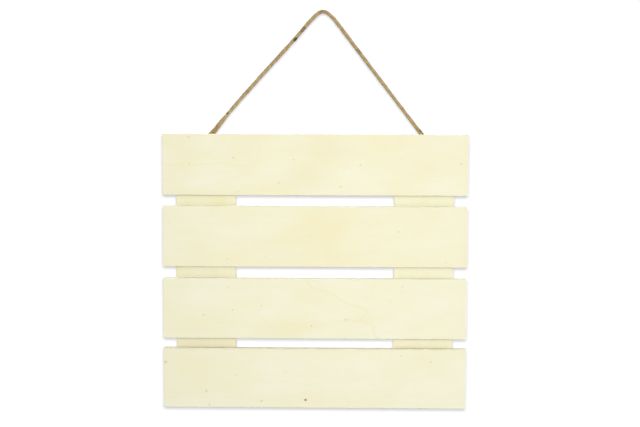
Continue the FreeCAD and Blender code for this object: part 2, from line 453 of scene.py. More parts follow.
def start_material(name):
    """New node material; returns it with its tree and its Principled BSDF."""
    made = bpy.data.materials.new(name)
    made.use_nodes = True
    return made, made.node_tree, made.node_tree.nodes["Principled BSDF"]


def bump(tree, shader, height, distance, strength):
    """Relief from a height value, into the shader's Normal."""
    made = put(tree, "ShaderNodeBump", {"Height": height, "Distance": distance, "Strength": strength})
    tree.links.new(made.outputs["Normal"], shader.inputs["Normal"])


def own_place(tree):
    """Object coordinates."""
    return put(tree, "ShaderNodeTexCoord").outputs["Object"]


def attribute(tree, name):
    """Value of one of the mesh's own attributes."""
    return put(tree, "ShaderNodeAttribute", attribute_name=name).outputs["Fac"]


def make_soft_spot():
    """Adds a round, soft-edged spot to a running value: Amount at Place, nothing at Reach."""
    takes = {"Vector": "Vector", "Place": "Vector", "Reach": "Vector", "Amount": "Float", "Before": "Float"}
    tree, take, give = start_group("soft_spot", takes, {"After": "Float"})
    away = vectors(tree, "DIVIDE", vectors(tree, "SUBTRACT", take["Vector"], take["Place"]), take["Reach"])
    fall = ramp(tree, measure(tree, "LENGTH", away), 0.0, 1.0, 1.0, 0.0)
    feed(tree, give["After"], maths(tree, "MULTIPLY_ADD", fall, take["Amount"], take["Before"]))


def make_figure_stroke():
    """Lays a soft stroke over a running value: Strength from Start to Stop, and nothing at Fade from it."""
    takes = {
        "Vector": "Vector",
        "Start": "Vector",
        "Stop": "Vector",
        "Fade": "Float",
        "Strength": "Float",
        "Before": "Float",
    }
    tree, take, give = start_group("figure_stroke", takes, {"After": "Float"})
    flat = vectors(tree, "MULTIPLY", take["Vector"], (1.0, 0.0, 1.0))
    away = vectors(tree, "SUBTRACT", flat, take["Start"])
    span = vectors(tree, "SUBTRACT", take["Stop"], take["Start"])
    reach = measure(tree, "DOT_PRODUCT", away, span)
    share = maths(tree, "DIVIDE", reach, measure(tree, "DOT_PRODUCT", span, span))
    held = put(tree, "ShaderNodeClamp", {"Value": share}).outputs[0]
    foot = put(tree, "ShaderNodeVectorMath", {0: span, "Scale": held}, operation="SCALE").outputs["Vector"]
    gap = measure(tree, "LENGTH", vectors(tree, "SUBTRACT", away, foot))
    stroke = ramp(tree, gap, 0.0, take["Fade"], take["Strength"], 0.0)
    feed(tree, give["After"], maths(tree, "MAXIMUM", take["Before"], stroke))


def make_sawn_grain():
    """Grain of a board in its own axes, X along the grain, Y through the board and Z across it.

    The rings are circles about the heart of the tree that lean along the board and waver slowly. Tone is slow
    noise drawn out along the grain, with a fine mottle, Fibre is noise at the width of a fibre, and Pores are
    cells drawn out into fine dashes.
    """
    takes = {"Vector": "Vector", "Seed": "Float", "Heart": "Vector", "Lean": "Float", "Spacing": "Float"}
    gives = {"Figure": "Float", "Tone": "Float", "Fibre": "Float", "Pores": "Float"}
    tree, take, give = start_group("sawn_grain", takes, gives)
    place = take["Vector"]
    slow = vectors(tree, "MULTIPLY", place, (0.16, 1.0, 1.0))
    waver = noise(tree, slow, 26.0, 2.0, take["Seed"])
    from_heart = vectors(tree, "MULTIPLY", vectors(tree, "SUBTRACT", place, take["Heart"]), (0.0, 1.0, 1.0))
    along = put(tree, "ShaderNodeSeparateXYZ", {0: place}).outputs["X"]
    radius = maths(tree, "MULTIPLY_ADD", along, take["Lean"], measure(tree, "LENGTH", from_heart))
    radius = maths(tree, "MULTIPLY_ADD", waver, 0.022, radius)
    turn = maths(tree, "MULTIPLY", maths(tree, "DIVIDE", radius, take["Spacing"]), math.pi)
    crest = maths(tree, "ABSOLUTE", maths(tree, "SINE", turn))
    feed(tree, give["Figure"], maths(tree, "POWER", crest, 9.0))

    patches = noise(tree, vectors(tree, "MULTIPLY", place, (0.5, 1.0, 1.0)), 42.0, 3.0, take["Seed"])
    mottle = noise(tree, vectors(tree, "MULTIPLY", place, (0.6, 1.0, 1.0)), 520.0, 2.0, take["Seed"])
    mottle = maths(tree, "SUBTRACT", mottle, 0.5)
    feed(tree, give["Tone"], maths(tree, "MULTIPLY_ADD", mottle, 0.38, patches))
    fine = vectors(tree, "MULTIPLY", place, (0.025, 1.0, 1.0))
    feed(tree, give["Fibre"], noise(tree, fine, 1300.0, 3.0, take["Seed"]))
    feeds = {"Vector": fine, "W": take["Seed"], "Scale": 1500.0}
    cells = put(tree, "ShaderNodeTexVoronoi", feeds, voronoi_dimensions="4D").outputs["Distance"]
    feed(tree, give["Pores"], ramp(tree, cells, 0.06, 0.20, 1.0, 0.0))


def make_wood_tint():
    """Turns the grain's masks into a board's colour, roughness and relief.

    Tone runs from pale to straw wood, figure and fibres lie over it, pores and knots darken it, and edges and
    end grain are deeper because sawn fibres soak up dirt; on the slats' top edges that darkening is partly
    painted shade. Eased edges take their own colour, paler on the slats from sanding and from painted light,
    and the dark patches include painted shade on the battens and along the bottom slat's top edge.
    """
    masks = ("Tone", "Figure", "Fibre", "Pores", "Knots", "Worn", "Soil", "Edge", "End")
    tones = ("Pale", "Straw", "Late Wood", "Knot Rim", "Knot", "Worn Wood", "Sawn Edge")
    takes = dict.fromkeys(masks, "Float") | dict.fromkeys(tones, "Color")
    gives = {"Color": "Color", "Roughness": "Float", "Height": "Float"}
    tree, take, give = start_group("wood_tint", takes, gives)
    fibre = ramp(tree, take["Fibre"], 0.30, 0.72)
    wood = tint(tree, take["Tone"], take["Pale"], take["Straw"])
    wood = tint(tree, take["Figure"], wood, take["Late Wood"])
    wood = tint(tree, maths(tree, "MULTIPLY", fibre, 0.07), wood, take["Late Wood"])
    wood = tint(tree, maths(tree, "MULTIPLY", take["Pores"], 0.14), wood, take["Knot"])
    # Eased edges: on the slats a paler colour, partly sanding and partly painted light; on the battens the
    # darker edge colour
    wood = tint(tree, maths(tree, "MULTIPLY", take["Worn"], 0.8), wood, take["Worn Wood"])
    # Dark patches, with painted shade on the battens and along the bottom slat's top edge
    wood = tint(tree, take["Soil"], wood, take["Sawn Edge"])
    # The narrow long faces are darker, partly sawn edges soaking up dirt and partly painted shade on the
    # slats' top edges
    wood = tint(tree, maths(tree, "MULTIPLY", take["Edge"], 0.27), wood, take["Sawn Edge"])
    soaked = maths(tree, "MULTIPLY", take["End"], ramp(tree, take["Fibre"], 0.25, 0.75, 0.25, 0.75))
    wood = tint(tree, soaked, wood, take["Sawn Edge"])
    wood = tint(tree, take["Knots"], wood, tint(tree, take["Knots"], take["Knot Rim"], take["Knot"]))
    feed(tree, give["Color"], wood)
    rough = maths(tree, "MULTIPLY_ADD", fibre, 0.14, 0.56)
    feed(tree, give["Roughness"], maths(tree, "MULTIPLY_ADD", take["Knots"], -0.12, rough))
    relief = maths(tree, "MULTIPLY_ADD", take["Pores"], -0.8, fibre)
    feed(tree, give["Height"], maths(tree, "MULTIPLY_ADD", take["Knots"], -0.6, relief))


def board_point(spot):
    """A point on a board's face, given along and across in millimetres, in the board's own axes in metres."""
    return (spot[0] * MM, 0.0, spot[1] * MM)


def wander(tree, vector, seed):
    """The vector pushed about by a millimetre or so, so that patches and strokes have no ruled outline."""
    feeds = {"Vector": vector, "W": seed, "Scale": 90.0, "Detail": 2.0}
    push = put(tree, "ShaderNodeTexNoise", feeds, noise_dimensions="4D").outputs["Color"]
    offset = vectors(tree, "SUBTRACT", push, (0.5, 0.5, 0.5))
    return vectors(tree, "MULTIPLY_ADD", offset, (6 * MM, 0.0, 4 * MM), vector)


def patch_reach(spot):
    """Reach of a patch: along and across as listed, and right through the board."""
    return (spot[2] * MM, THROUGH, spot[3] * MM)


def knot_reach(spot):
    """Reach of a pin knot: its radius across, a quarter more along the grain, and right through the board."""
    return (1.25 * spot[2] * MM, THROUGH, spot[2] * MM)


def spots(tree, vector, listed, reach_of, before):
    """Running value with every listed spot added; a spot's last number is its strength."""
    rows = [
        {"Vector": vector, "Place": board_point(spot), "Reach": reach_of(spot), "Amount": spot[-1]}
        for spot in listed
    ]
    return lay_over(tree, "soft_spot", before, rows)


def strokes(tree, vector, lines):
    """Value of the wandering figure lines, each a chain of strokes."""
    rows = []
    for strength, corners in lines:
        shared = {"Vector": vector, "Fade": FIGURE_FADE, "Strength": strength}
        for start, stop in zip(corners, corners[1:]):
            rows.append(shared | {"Start": board_point(start), "Stop": board_point(stop)})
    return lay_over(tree, "figure_stroke", 0.0, rows)


def board_wood(node, settings, pale, straw, arris, turned):
    """Material of one board, from pale to straw wood, with arris the colour of its eased edges.

    A turned board has its grain upright, along Z, and its axes are turned to match.
    """
    seed, heart, lean, warmth_and_painted_light = BOARD_CUTS[node]
    material, tree, shader = start_material("wood_" + node)
    low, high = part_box(node)
    coords = put(tree, "ShaderNodeTexCoord")
    turn = (0.0, math.radians(-90.0) if turned else 0.0, 0.0)
    placed = {"Vector": coords.outputs["Object"], "Location": (low + high) / 2, "Rotation": turn}
    own = put(tree, "ShaderNodeMapping", placed, vector_type="TEXTURE").outputs[0]
    turned_normal = {"Vector": coords.outputs["Normal"], "Rotation": turn}
    facing = put(tree, "ShaderNodeMapping", turned_normal, vector_type="TEXTURE").outputs[0]
    side = put(tree, "ShaderNodeSeparateXYZ", {0: facing}).outputs

    cut = {
        "Vector": own,
        "Seed": seed,
        "Heart": (0.0, heart[0] * MM, heart[1] * MM),
        "Lean": lean,
        "Spacing": settings.ring_spacing,
    }
    grain = use_group(tree, "sawn_grain", cut)
    drawn = wander(tree, own, seed)
    # The board's shift of tone; the lower slats' paler shift is partly painted light
    tone = ramp(tree, grain["Tone"], 0.22, 0.78, 0.15 + warmth_and_painted_light, 0.85 + warmth_and_painted_light)
    tone = spots(tree, drawn, WARM_PATCHES[node], patch_reach, tone)
    figure = maths(tree, "MULTIPLY", grain["Figure"], settings.figure)
    figure = maths(tree, "MAXIMUM", figure, strokes(tree, drawn, FIGURE_LINES.get(node, ())))
    # Dark patches, partly painted shade
    dark_patches_and_shade = spots(tree, drawn, DARK_PATCHES_AND_SHADE.get(node, ()), patch_reach, 0.0)
    knots = spots(tree, own, PIN_KNOTS[node], knot_reach, 0.0)
    level = maths(tree, "ABSOLUTE", side["Y"])
    # Mask of the eased edges, where the slats get their paler colour, partly painted light
    eased_arris = maths(tree, "MULTIPLY", ramp(tree, level, 0.4, 0.6), ramp(tree, level, 0.8, 0.95, 1.0, 0.0))
    masks = {
        "Tone": tone,
        "Figure": figure,
        "Fibre": grain["Fibre"],
        "Pores": grain["Pores"],
        "Knots": knots,
        "Worn": eased_arris,
        "Soil": dark_patches_and_shade,
        "Edge": ramp(tree, maths(tree, "ABSOLUTE", side["Z"]), 0.8, 0.98),
        "End": ramp(tree, maths(tree, "ABSOLUTE", side["X"]), 0.8, 0.98),
        "Pale": pale,
        "Straw": straw,
        "Late Wood": settings.late_wood,
        "Knot Rim": settings.knot_rim,
        "Knot": settings.knot,
        "Worn Wood": arris,
        "Sawn Edge": settings.sawn_edge_and_shade,
    }
    look = use_group(tree, "wood_tint", masks)
    surface = {"Base Color": look["Color"], "Roughness": look["Roughness"], "Specular IOR Level": 0.25}
    feed_all(tree, shader, surface)
    bump(tree, shader, look["Height"], 0.08 * MM, 0.35)
    return material


def dress(node, material):
    """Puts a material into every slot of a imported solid."""
    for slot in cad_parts[node].material_slots:
        slot.material = material


def add_object(name, data):
    """New object in the scene."""
    made = bpy.data.objects.new(name, data)
    bpy.context.scene.collection.objects.link(made)
    return made


def smooth_mesh(name, points, faces, material):
    """Smooth mesh object from an array of points and lists of faces."""
    mesh = bpy.data.meshes.new(name)
    mesh.from_pydata(points.reshape(-1, 3).tolist(), [], faces)
    mesh.polygons.foreach_set("use_smooth", np.ones(len(mesh.polygons), dtype=bool))
    mesh.materials.append(material)
    mesh.update()
    return add_object(name, mesh)


def new_piece(name, points, faces, material):
    """Mesh object that rides on the plaque's one body and has one of the record's material slots."""
    piece = smooth_mesh(name, points, faces, material)
    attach(piece, "root")
    return piece


def mark(piece, name, values):
    """Writes one number per point into an attribute of a mesh."""
    piece.data.attributes.new(name, "FLOAT", "POINT").data.foreach_set("value", values)


def unit(arrays):
    """Vectors along the last axis, made one long."""
    return arrays / np.linalg.norm(arrays, axis=-1, keepdims=True)


def smooth(values, low, high):
    """Smooth step from 0 at low to 1 at high."""
    t = np.clip((values - low) / (high - low), 0.0, 1.0)
    return t * t * (3.0 - 2.0 * t)


def tube_quads(rings, around):
    """Faces of a tube whose points are numbered ring by ring, with the last column joined to the first."""
    i, j = np.meshgrid(np.arange(rings - 1), np.arange(around), indexing="ij")
    here = i * around + j
    beside = i * around + (j + 1) % around
    return np.stack([here, beside, beside + around, here + around], axis=-1).reshape(-1, 4)


def twine_line():
    """Points along the route's spline, a step apart, read from a curve that has no bevel."""
    step = 0.4 * MM
    curve = bpy.data.curves.new("twine_line", "CURVE")
    curve.dimensions = "3D"
    spline = curve.splines.new("NURBS")
    spline.points.add(len(TWINE_ROUTE) - 1)
    for point, (x, z) in zip(spline.points, TWINE_ROUTE):
        point.co = (x, TWINE_PLANE, z, 1.0)
    spline.order_u = 3
    spline.use_endpoint_u = True
    spline.resolution_u = 400
    carrier = bpy.data.objects.new("twine_line", curve)
    mesh = bpy.data.meshes.new_from_object(carrier)
    points = np.empty(len(mesh.vertices) * 3)
    mesh.vertices.foreach_get("co", points)
    points = points.reshape(-1, 3)
    bpy.data.objects.remove(carrier)
    bpy.data.curves.remove(curve)
    bpy.data.meshes.remove(mesh)
    run = np.concatenate([[0.0], np.cumsum(np.linalg.norm(np.diff(points, axis=0), axis=1))])
    marks = np.append(np.arange(0.0, run[-1] - step / 2, step), run[-1])
    kept = np.unique(np.searchsorted(run, marks))
    return points[kept], run[kept]


class Twine:
    """The twine's line with its frame at every ring, and the two plies laid round it.

    Each ply's middle circles the line as the lay turns. Its section is an oval, flatter towards the other
    ply, with fine ridges that run along the twine, and it swells and thins a little along its length. The
    lay turns to the left, as an S. Towards both ends it is slacker, and the plies lie wider and flatter,
    most of all where the left end goes behind the top slat.
    """

    AROUND = 22
    # In half diameters: a ply's middle from the line, then half its oval away from the line and across.
    REACH, DEEP, BROAD = 0.42, 0.58, 0.86
    # Width against two plain plies, and what is added at the slack left and right ends and at the splay.
    WIDTH, LEFT_WIDER, RIGHT_WIDER, SPLAY_WIDER = 1.07, 0.40, 0.27, 0.65

    def __init__(self, settings, rng):
        self.line, self.run = twine_line()
        self.round = np.linspace(-math.pi, math.pi, self.AROUND, endpoint=False)
        self.along = unit(np.gradient(self.line, self.run, axis=0))
        self.back = np.broadcast_to([0.0, 1.0, 0.0], self.line.shape)
        self.side = np.cross(self.back, self.along)
        end = self.run[-1]
        left = 1.0 - smooth(self.run, 30 * MM, 47 * MM)
        right = smooth(self.run, end - 36 * MM, end - 15 * MM)
        slack = left + right
        splay = smooth(self.run, 11 * MM, 18 * MM) * (1.0 - smooth(self.run, 19 * MM, 26 * MM))
        pitch = settings.lay * (1.0 + 0.5 * slack) * (1.0 + 0.26 * self.drift(rng, 23 * MM))
        turn = -2.0 * math.pi * np.concatenate([[0.0], np.cumsum(np.diff(self.run) / pitch[1:])])
        self.wide = self.WIDTH + self.LEFT_WIDER * left + self.RIGHT_WIDER * right + self.SPLAY_WIDER * splay
        self.thin = 1.0 - 0.14 * slack
        half = settings.diameter / 2
        self.plies = np.stack([self.ply(turn + math.pi * k, half, rng) for k in range(2)])
        self.turns = np.stack([turn, turn + math.pi])

    def drift(self, rng, step):
        """Slow chance variation along the twine, from -1 to 1: a new value at every step, joined smoothly."""
        marks = np.arange(0.0, self.run[-1] + step, step)
        values = rng.uniform(-1.0, 1.0, len(marks))
        place = np.clip((self.run / step).astype(int), 0, len(marks) - 2)
        share = smooth(self.run, marks[place], marks[place + 1])
        return values[place] * (1.0 - share) + values[place + 1] * share

    def outer(self):
        """How far each point lies towards the loop's outer side: 0 on the inner side, 1 on the outer one."""
        off = np.einsum("krax,rx->kra", self.plies - self.line[None, :, None], self.side)
        return 0.5 - 0.5 * off / np.abs(off).max(axis=(0, 2), keepdims=True)

    def ply(self, turn, half, rng):
        """Points of one ply, one ring after another.

        Its middle lies REACH out from the line as the lay turns. Round that, the oval is DEEP times a cosine
        outwards and BROAD times a sine across. It swells and strays by chance, and is ridged by cosines of
        six and of eleven waves round. Then all is widened in the loop's plane and thinned in depth.
        """
        swell = 1.0 + 0.11 * self.drift(rng, 8 * MM)
        stray = 1.0 + 0.14 * self.drift(rng, 11 * MM)
        slip = 2.5 * self.drift(rng, 15 * MM)[:, None]
        lay = self.round[None, :] + turn[:, None]
        ridges = 0.05 * np.cos(6.0 * lay + slip) + 0.035 * np.cos(11.0 * lay - slip)
        size = half * swell[:, None] * (1.0 + ridges)
        outward = self.REACH * half * stray[:, None] + self.DEEP * size * np.cos(self.round)[None, :]
        across = self.BROAD * size * np.sin(self.round)[None, :]
        cos, sin = np.cos(turn)[:, None], np.sin(turn)[:, None]
        in_plane = (cos * outward - sin * across) * self.wide[:, None]
        in_depth = (sin * outward + cos * across) * self.thin[:, None]
        aside = in_plane[..., None] * self.side[:, None]
        behind = in_depth[..., None] * self.back[:, None]
        return self.line[:, None] + aside + behind


def ply_mesh(twine, material):
    """The two plies as closed tubes, with a UV map that follows the fibres.

    U is metres along the twine, and V is turns round the ply, carried on with the lay.
    """
    rings, around = twine.plies.shape[1:3]
    quads = tube_quads(rings, around)
    middle = twine.plies[:, [0, -1]].mean(axis=2)
    points = np.concatenate([twine.plies.reshape(-1, 3), middle.reshape(-1, 3)])
    faces, corners = [], []
    edge = np.arange(around)
    after = (edge + 1) % around
    for k in range(2):
        base = k * rings * around
        first_hub = 2 * rings * around + 2 * k
        last = base + (rings - 1) * around
        faces += (quads + base).tolist()
        faces += np.stack([np.full(around, first_hub), base + after, base + edge], axis=1).tolist()
        faces += np.stack([np.full(around, first_hub + 1), last + edge, last + after], axis=1).tolist()
        corners.append(ply_uv(twine, k, rings, around))
    piece = new_piece("twine_plies", points, faces, material)
    layer = piece.data.uv_layers.new(name="lay")
    layer.data.foreach_set("uv", np.concatenate(corners).ravel())
    # Painted shade in the grooves: darkest on each ply's side towards the other ply
    groove_shading = 0.5 - 0.5 * np.cos(twine.round)
    hubs = np.full(4, 0.5)
    mark(piece, "ply", np.concatenate([np.repeat([0.0, 1.0], rings * around), [0.0, 0.0, 1.0, 1.0]]))
    mark(piece, "groove", np.concatenate([np.tile(groove_shading, 2 * rings), hubs]))
    mark(piece, "outer", np.concatenate([twine.outer().ravel(), hubs]))
    return piece


def ply_uv(twine, k, rings, around):
    """UV of every face corner of one ply: the tube's quads, then the fans that close its two ends."""
    i, j = np.meshgrid(np.arange(rings - 1), np.arange(around), indexing="ij")
    ring = np.stack([i, i, i + 1, i + 1], axis=-1).reshape(-1)
    column = np.stack([j, j + 1, j + 1, j], axis=-1).reshape(-1)
    fans = np.repeat([0, rings - 1], 3 * around)
    ring = np.concatenate([ring, fans])
    column = np.concatenate([column, np.zeros(6 * around)])
    turns = (column / around) + twine.turns[k][ring] / (2.0 * math.pi)
    return np.stack([twine.run[ring], turns], axis=-1)


def hairs(roots, aims, curls, lengths, thickness, floor):
    """Thin three-sided tubes.

    Each spine leaves its root along its aim and bends towards its curl as the square of the way along, and
    its thickness shrinks to the tip. Below the battens' top no spine comes nearer to their backs than floor.
    """
    rings = 6
    t = np.linspace(0.0, 1.0, rings)[None, :, None]
    spine = roots[:, None] + lengths[:, None, None] * (t * aims[:, None] + t * t * curls[:, None])
    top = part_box("left_batten")[1].z
    spine[..., 1] = np.where(spine[..., 2] < top + 1 * MM, np.maximum(spine[..., 1], floor), spine[..., 1])
    slant = np.array([0.31, 0.77, 0.55])  # a direction that no aim has
    first = unit(np.cross(aims, slant))
    second = np.cross(aims, first)
    angle = np.arange(3) * 2.0 * math.pi / 3.0
    spoke = np.cos(angle)[None, :, None] * first[:, None] + np.sin(angle)[None, :, None] * second[:, None]
    taper = thickness[:, None, None, None] * (1.0 - 0.7 * t)[..., None]
    points = spine[:, :, None] + taper * spoke[:, None]
    base = np.arange(len(roots))[:, None, None] * rings * 3
    quads = (tube_quads(rings, 3)[None] + base).reshape(-1, 4).tolist()
    caps = np.array([[0, 2, 1], [3 * rings - 3, 3 * rings - 2, 3 * rings - 1]])
    return points, quads + (caps[None] + base).reshape(-1, 3).tolist()


def fibre_mesh(twine, count, material, rng):
    """Loose fibres that leave the plies along the twine, and a tuft of cut fibres at each end."""
    rings, around = twine.plies.shape[1:3]
    ring = rng.integers(0, rings, count)
    column = rng.integers(0, around, count)
    roots = twine.plies[rng.integers(0, 2, count), ring, column]
    outward = unit(roots - twine.line[ring])
    forward = twine.along[ring] * rng.choice([-1.0, 1.0], count)[:, None]
    aims = unit(0.45 * outward + forward + rng.normal(0.0, 0.22, (count, 3)))
    curls = rng.normal(0.0, 0.22, (count, 3)) + 0.12 * outward
    lengths = rng.uniform(0.9, 3.0, count) * MM
    thickness = rng.uniform(0.020, 0.040, count) * MM

    tuft = 26
    ends = np.repeat([0, rings - 1], tuft)
    cut_roots = twine.plies[rng.integers(0, 2, 2 * tuft), ends, rng.integers(0, around, 2 * tuft)]
    cut_roots = 0.5 * (cut_roots + twine.line[ends])
    onward = twine.along[ends] * np.repeat([-1.0, 1.0], tuft)[:, None]
    cut_aims = unit(onward + rng.normal(0.0, 0.25, (2 * tuft, 3)))
    cut_curls = rng.normal(0.0, 0.25, (2 * tuft, 3))
    points, faces = hairs(
        np.concatenate([roots, cut_roots]),
        np.concatenate([aims, cut_aims]),
        np.concatenate([curls, cut_curls]),
        np.concatenate([lengths, rng.uniform(1.5, 4.5, 2 * tuft) * MM]),
        np.concatenate([thickness, rng.uniform(0.05, 0.10, 2 * tuft) * MM]),
        floor=0.1 * MM,
    )
    return new_piece("twine_fibres", points, faces, material)


def bark_mesh(twine, material):
    """Flecks of bark, lying along the twine and a little sunk into the plies.

    Each is an oval, wider than it is proud, whose girth is the sine of the way along to the power 1.5, so
    that it is pointed at both ends.
    """
    around, rows = 10, 8
    half_long, half_wide, half_proud, sunk = 1.5 * MM, 0.75 * MM, 0.45 * MM, 0.2 * MM
    v = np.linspace(0.12 * math.pi, 0.88 * math.pi, rows)[:, None]
    u = np.linspace(0.0, 2.0 * math.pi, around, endpoint=False)[None, :]
    girth = np.sin(v) ** 1.5
    wide = half_wide * girth * np.cos(u)
    proud = half_proud * girth * np.sin(u)
    lengthwise = np.broadcast_to(-half_long * np.cos(v), (rows, around))
    fleck = np.stack([wide, proud, lengthwise], axis=-1).reshape(-1, 3)
    places, turns, sizes, brown = np.array(BARK_FLECKS).T
    ring = np.searchsorted(twine.run, places * MM)
    angle = np.radians(turns)[:, None]
    out = np.cos(angle) * twine.side[ring] + np.sin(angle) * twine.back[ring]
    along = twine.along[ring]
    axes = np.stack([np.cross(out, along), out, along], axis=1)
    surface = twine.plies[:, ring] - twine.line[ring][None, :, None]
    reach = np.einsum("kfax,fx->kfa", surface, out).max(axis=(0, 2))[:, None] - sunk
    turned = np.einsum("pk,fkx->fpx", fleck, axes)
    points = (twine.line[ring] + reach * out)[:, None] + sizes[:, None, None] * turned
    base = np.arange(len(ring))[:, None, None] * rows * around
    quads = (tube_quads(rows, around)[None] + base).reshape(-1, 4).tolist()
    rim = np.arange(around)
    ends = np.stack([rim[::-1], rim + (rows - 1) * around])
    caps = (ends[None] + base).reshape(-1, around).tolist()
    piece = new_piece("twine_bark", points, quads + caps, material)
    mark(piece, "brown", np.repeat(brown, rows * around))
    return piece


def make_stretch():
    """Soft mask of a stretch of the twine, by its middle and half its length, laid over a running value."""
    takes = dict.fromkeys(("Along", "Middle", "Half", "Strength", "Before"), "Float")
    tree, take, give = start_group("twine_stretch", takes, {"After": "Float"})
    away = maths(tree, "ABSOLUTE", maths(tree, "SUBTRACT", take["Along"], take["Middle"]))
    share = ramp(tree, maths(tree, "DIVIDE", away, take["Half"]), 0.55, 1.05, take["Strength"], 0.0)
    feed(tree, give["After"], maths(tree, "MAXIMUM", take["Before"], share))


def stretches(tree, along, listed):
    """Mask of all the listed stretches."""
    rows = [{"Along": along, "Middle": m * MM, "Half": h * MM, "Strength": s} for m, h, s in listed]
    return lay_over(tree, "twine_stretch", 0.0, rows)


def jute(settings):
    """Material of the plies: strands of several tones drawn out along the lay, matt and ridged by fibres.

    The loop's outer side is more olive and its inner side more russet, with browner stretches as listed, and
    painted shade darkens the grooves between the plies.
    """
    material, tree, shader = start_material("jute_plies")
    uv = put(tree, "ShaderNodeUVMap", uv_map="lay").outputs[0]
    along = put(tree, "ShaderNodeSeparateXYZ", {0: uv}).outputs["X"]
    strand = noise(tree, vectors(tree, "MULTIPLY", uv, (55.0, 5.0, 0.0)), 1.0, 3.0, 3.1)
    streak = noise(tree, vectors(tree, "MULTIPLY", uv, (110.0, 16.0, 0.0)), 1.0, 3.0, 7.7)
    fine = noise(tree, vectors(tree, "MULTIPLY", uv, (300.0, 60.0, 0.0)), 1.0, 2.0, 1.9)
    second = maths(tree, "MULTIPLY", attribute(tree, "ply"), 0.7)
    look = tint(tree, second, settings.straw, settings.olive)
    look = tint(tree, ramp(tree, strand, 0.44, 0.66, 0.0, 0.9), look, settings.russet)
    outer = attribute(tree, "outer")
    look = tint(tree, ramp(tree, outer, 0.05, 0.45, 0.6, 0.0), look, settings.russet)
    look = tint(tree, ramp(tree, outer, 0.55, 0.95, 0.0, 0.6), look, settings.olive)
    look = tint(tree, ramp(tree, streak, 0.46, 0.74, 0.0, 0.40), look, settings.pale)
    patchy = ramp(tree, streak, 0.3, 0.7, 0.60, 0.1)
    brown = maths(tree, "MULTIPLY", stretches(tree, along, BROWN_STRETCHES), patchy)
    look = tint(tree, brown, look, settings.brown)
    look = tint(tree, ramp(tree, fine, 0.52, 0.85, 0.0, 0.35), look, settings.brown)
    # Painted shade in the grooves between the plies
    look = tint(tree, ramp(tree, attribute(tree, "groove"), 0.2, 0.6, 0.0, 0.18), look, settings.brown)
    surface = {
        "Base Color": look,
        "Roughness": ramp(tree, streak, 0.3, 0.7, 0.72, 0.90),
        "Specular IOR Level": 0.25,
        "Sheen Weight": 0.50,
        "Sheen Roughness": 0.5,
        "Sheen Tint": (0.90, 0.80, 0.62),
    }
    feed_all(tree, shader, surface)
    bump(tree, shader, maths(tree, "MULTIPLY_ADD", streak, 1.5, fine), 0.12 * MM, 0.6)
    return material


def loose_jute(settings):
    """Material of the loose fibres, straw to pale from place to place."""
    material, tree, shader = start_material("jute_fibres")
    patch = ramp(tree, noise(tree, own_place(tree), 240.0, 2.0, 4.4), 0.35, 0.65)
    surface = {
        "Base Color": tint(tree, patch, settings.straw, settings.pale),
        "Roughness": ramp(tree, patch, 0.0, 1.0, 0.65, 0.85),
        "Specular IOR Level": 0.3,
    }
    feed_all(tree, shader, surface)
    return material


def bark(settings):
    """Material of the bark flecks: dark or brown from fleck to fleck, and finely cracked."""
    material, tree, shader = start_material("jute_bark")
    crack = noise(tree, own_place(tree), 2600.0, 3.0, 2.2)
    brown = maths(tree, "ADD", attribute(tree, "brown"), ramp(tree, crack, 0.4, 0.8, 0.0, 0.3))
    surface = {
        "Base Color": tint(tree, brown, settings.bark, settings.brown),
        "Roughness": ramp(tree, crack, 0.3, 0.7, 0.6, 0.85),
    }
    feed_all(tree, shader, surface)
    bump(tree, shader, crack, 0.1 * MM, 0.6)
    return material


def galvanised(settings):
    """Material of the staples: crystals of zinc, dull and rough in patches, with lines along the crown."""
    material, tree, shader = start_material("galvanised_wire")
    place = own_place(tree)
    cells = put(tree, "ShaderNodeTexVoronoi", {"Vector": place, "Scale": 1900.0})
    crystal = put(tree, "ShaderNodeSeparateColor", {0: cells.outputs["Color"]}).outputs[0]
    patch = ramp(tree, noise(tree, place, 420.0, 3.0, 6.1), 0.35, 0.68)
    dull = maths(tree, "MULTIPLY_ADD", crystal, 0.25, maths(tree, "MULTIPLY", patch, 0.6))
    surface = {
        "Base Color": tint(tree, dull, settings.zinc, settings.dull),
        "Roughness": maths(tree, "MULTIPLY_ADD", dull, 0.24, 0.36),
        "Metallic": 1.0,
    }
    feed_all(tree, shader, surface)
    drawn = noise(tree, vectors(tree, "MULTIPLY", place, (0.15, 1.0, 1.0)), 5200.0, 2.0, 9.3)
    bump(tree, shader, drawn, 0.02 * MM, 0.25)
    return material


def sweep_mesh(wall_y, floor_z, material):
    """Backdrop: a straight wall, a quarter circle and a straight floor, carried across in X as one sheet."""
    bend, top, front, half = 0.09, 0.55, 1.5, 0.75
    arc = np.linspace(0.0, math.pi / 2.0, 25)
    y = np.concatenate([[wall_y], wall_y - bend + bend * np.cos(arc), [wall_y - front]])
    z = np.concatenate([[top], floor_z + bend - bend * np.sin(arc), [floor_z]])
    x = np.linspace(-half, half, 9)
    across, depth = np.meshgrid(x, y)
    height = np.meshgrid(x, z)[1]
    points = np.stack([across, depth, height], axis=-1)
    i, j = np.meshgrid(np.arange(len(y) - 1), np.arange(len(x) - 1), indexing="ij")
    here = i * len(x) + j
    quads = np.stack([here, here + len(x), here + len(x) + 1, here + 1], axis=-1).reshape(-1, 4)
    return smooth_mesh("backdrop", points, quads.tolist(), material)


